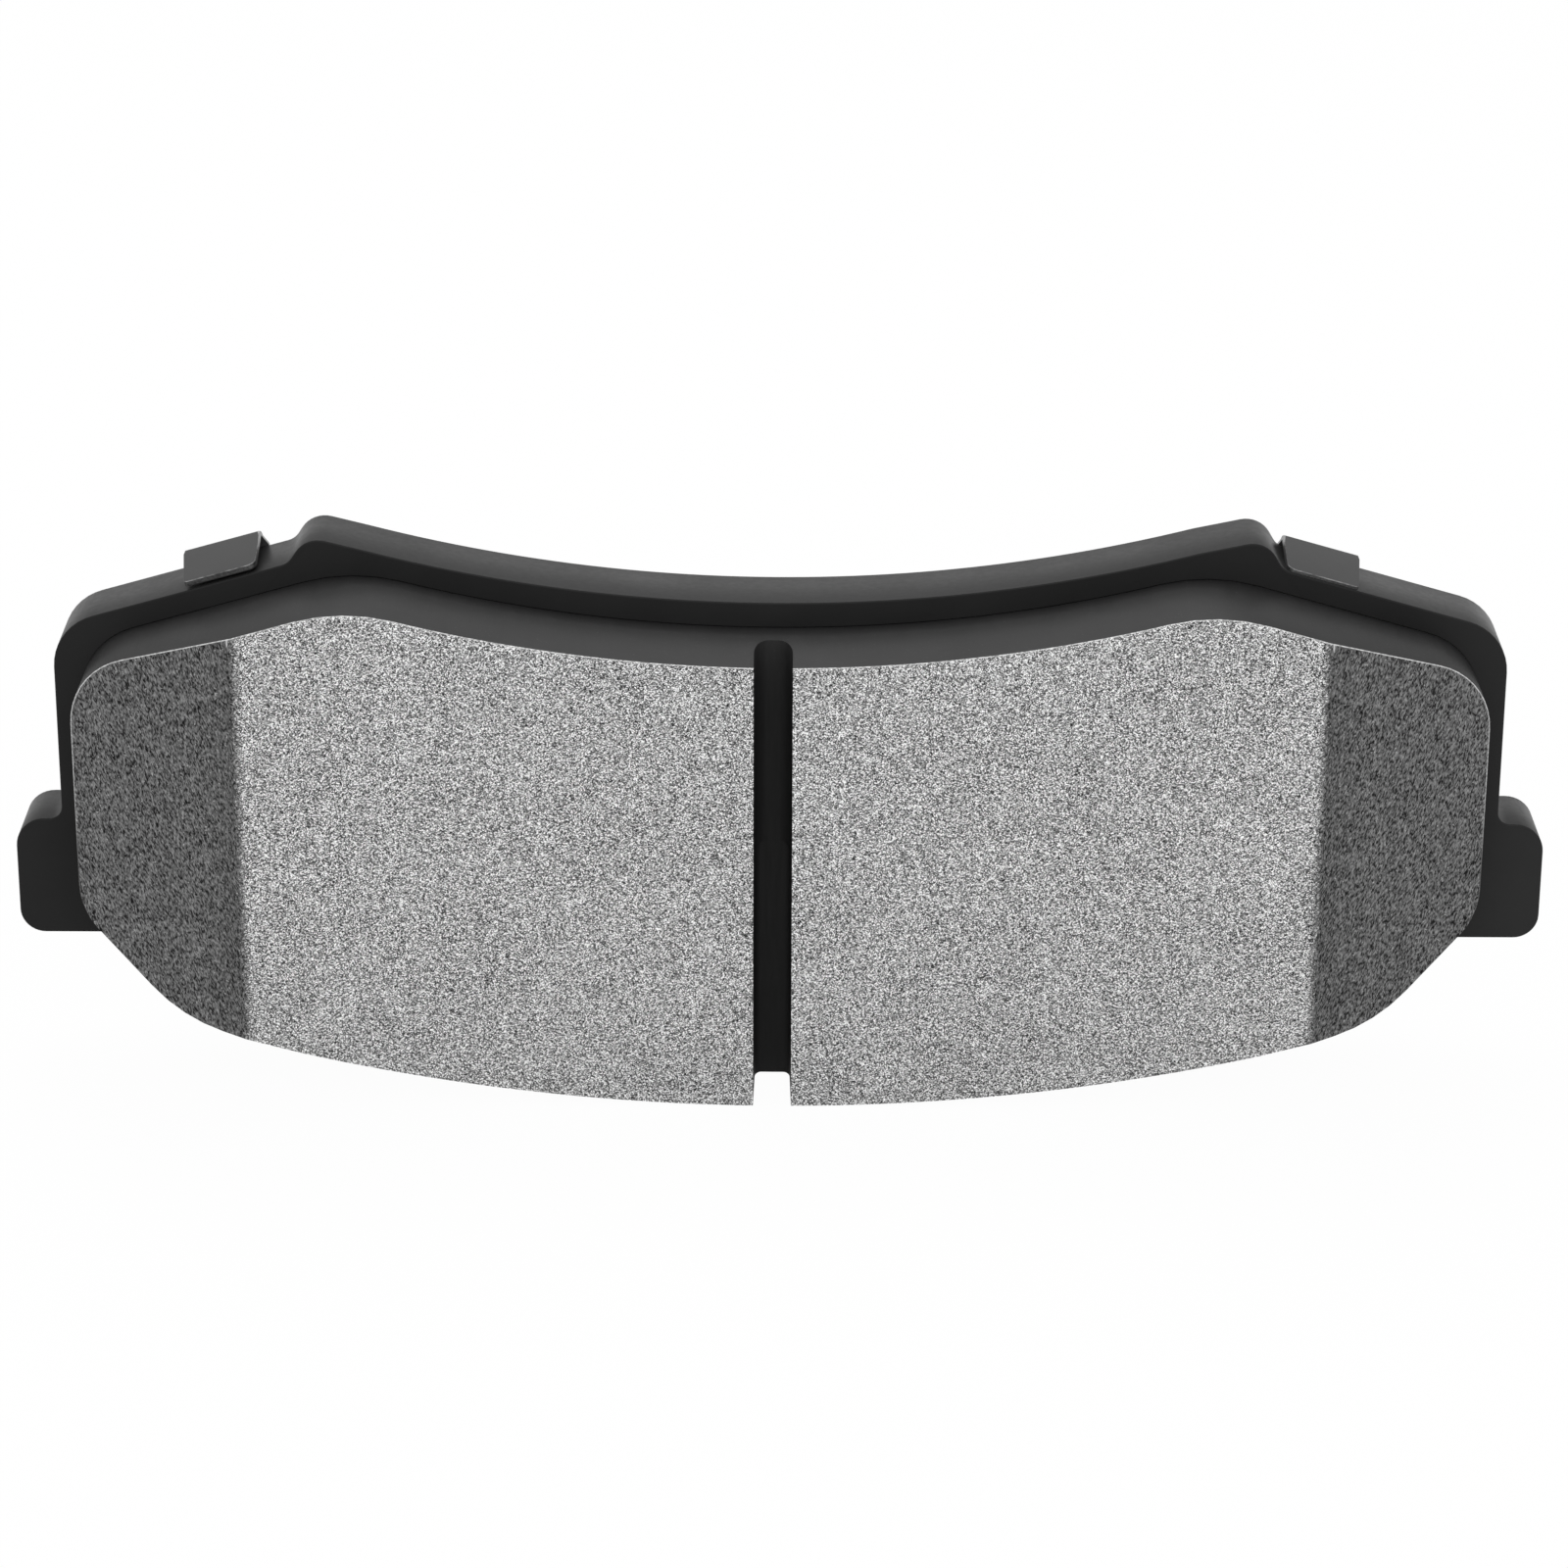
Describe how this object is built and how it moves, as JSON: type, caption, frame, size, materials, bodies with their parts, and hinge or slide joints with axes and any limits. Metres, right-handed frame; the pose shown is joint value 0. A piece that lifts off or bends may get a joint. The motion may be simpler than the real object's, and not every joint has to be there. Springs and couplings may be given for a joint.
{
  "type": "disc brake pad",
  "caption": "Disc brake pad with a slotted, end-chamfered friction lining on an eared steel backing plate and a clip-on anti-squeal shim.",
  "frame": {"origin": "on the shim's outer back face, where the caliper piston bears, midway between the ears", "axes": "+X along the pad's length; +Y from the friction face to the piston side, along the disc's axis; +Z towards the hub, which is up when the pad stands on its outer edge"},
  "size_m": [0.1234, 0.0165, 0.0446],
  "materials": {
    "plate_black": "satin powder coat on a blanked steel plate",
    "bond_brown": "cured adhesive",
    "underlayer_grey": "moulded composite",
    "friction_grey": "ground moulded friction composite",
    "glue_clear": "pressure-sensitive adhesive",
    "shim_rubber": "matt rubber coating",
    "shim_sheet": "cold-rolled sheet"
  },
  "bodies": {
    "root": {"backing_plate": "plate_black", "bonding_film": "bond_brown", "underlayer": "underlayer_grey", "friction_block": "friction_grey", "shim_glue": "glue_clear", "shim_inner_coat": "shim_rubber", "shim_steel": "shim_sheet", "shim_outer_coat": "shim_rubber"}
  },
  "joints": []
}
